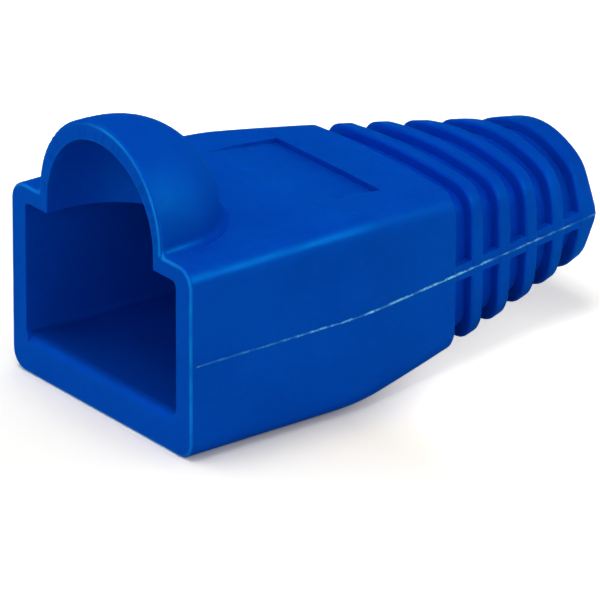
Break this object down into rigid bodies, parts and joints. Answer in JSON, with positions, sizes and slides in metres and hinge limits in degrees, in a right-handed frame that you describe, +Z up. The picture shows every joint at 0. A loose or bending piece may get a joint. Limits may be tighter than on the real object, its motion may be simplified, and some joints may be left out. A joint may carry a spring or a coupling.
{
  "type": "modular plug strain relief boot",
  "caption": "Soft plastic strain relief boot: a box that slides over the rear of a modular network plug, a hood over its latch and a ribbed, tapered tail round the cable.",
  "frame": {"origin": "centre of the bounding box's footprint, on the plane of the flat bottom", "axes": "+X from the open plug mouth to the cable end, along the cable; +Z up, to the side with the latch hood; the part is symmetric about Y = 0"},
  "size_m": [0.0262, 0.014, 0.0143],
  "materials": {
    "soft_pvc": "satin"
  },
  "bodies": {
    "root": {"boot": "soft_pvc"}
  },
  "joints": []
}
